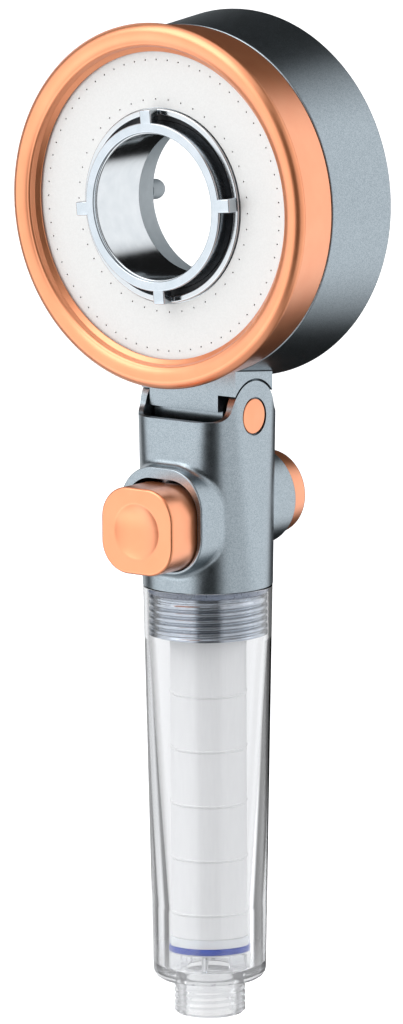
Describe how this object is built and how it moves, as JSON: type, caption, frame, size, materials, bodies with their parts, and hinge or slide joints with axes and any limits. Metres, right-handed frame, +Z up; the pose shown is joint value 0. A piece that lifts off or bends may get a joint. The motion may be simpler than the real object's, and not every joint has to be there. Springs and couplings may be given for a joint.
{
  "type": "handheld shower head",
  "caption": "Handheld ring shower head: open ring head on a tilting neck, push-through stop valve, clear handle with a filter cartridge and a half-inch pipe thread inlet.",
  "frame": {"origin": "centre of the inlet thread's end face", "axes": "+Z up the handle from the inlet, -Y is the spray side, +X is to the right seen from the spray side, along the tilt axle"},
  "size_m": [0.1072, 0.065, 0.2948],
  "materials": {
    "clear_plastic": "clear moulded plastic, polished",
    "filter_media": "pearly spun fibre sleeve",
    "white_plastic": "matte moulded plastic",
    "blue_seal": "smooth silicone",
    "gunmetal": "satin metallic paint with fine flake",
    "spigot_metal": "satin metallic paint",
    "clear_seal": "bluish translucent silicone",
    "brass": "turned",
    "dark_plastic": "moulded",
    "screw_steel": "bright",
    "rose_gold": "satin rose-gold plating",
    "black_seal": "smooth",
    "plate_steel": "fine blasted stainless sheet",
    "chrome": "polished",
    "chrome_plastic": "bright satin chrome plating",
    "grey_plastic": "fine matte moulded plastic"
  },
  "bodies": {
    "handle": {"clear_handle": "clear_plastic", "filter_sleeve": "filter_media", "filter_core": "white_plastic", "filter_top_cap": "white_plastic", "filter_bottom_cap": "white_plastic", "filter_seal": "blue_seal", "handle_shell": "gunmetal", "valve_body": "spigot_metal", "spigot_thread": "spigot_metal", "handle_seal": "clear_seal", "valve_sleeve": "brass", "feed_arm": "dark_plastic", "feed_screws": "screw_steel", "pivot_axle": "screw_steel", "pin_cap_left": "rose_gold", "pin_cap_right": "rose_gold"},
    "stop_valve": {"stop_button": "rose_gold", "valve_spool": "dark_plastic", "spool_o_rings": "black_seal", "rear_cap": "rose_gold"},
    "head": {"head_shell": "gunmetal", "trim_band": "rose_gold", "bezel_ring": "rose_gold", "spray_plate": "plate_steel", "rim_ring": "chrome", "plate_gasket": "black_seal", "jet_manifold": "dark_plastic", "water_chamber": "dark_plastic", "front_seal": "black_seal", "rear_seal": "black_seal", "neck_block": "gunmetal", "neck_screws": "screw_steel", "axle_seals": "black_seal"},
    "selector": {"lug_ring": "chrome_plastic", "bore_liner": "chrome", "selector_sleeve": "dark_plastic", "diverter_disc": "dark_plastic", "selector_ring": "grey_plastic", "thumb_stud": "grey_plastic"}
  },
  "joints": [
    {"name": "head_tilt", "type": "hinge", "parent": "handle", "child": "head", "pos_m": [0, 0, 0.179], "axis": [1, 0, 0], "range_deg": [-20, 30]},
    {"name": "stop_slide", "type": "slide", "parent": "handle", "child": "stop_valve", "axis": [0, 1, 0], "range_m": [0, 0.005]},
    {"name": "selector_turn", "type": "hinge", "parent": "head", "child": "selector", "pos_m": [0, 0, 0.2411], "axis": [0, 1, 0], "range_deg": [-30, 30]}
  ]
}
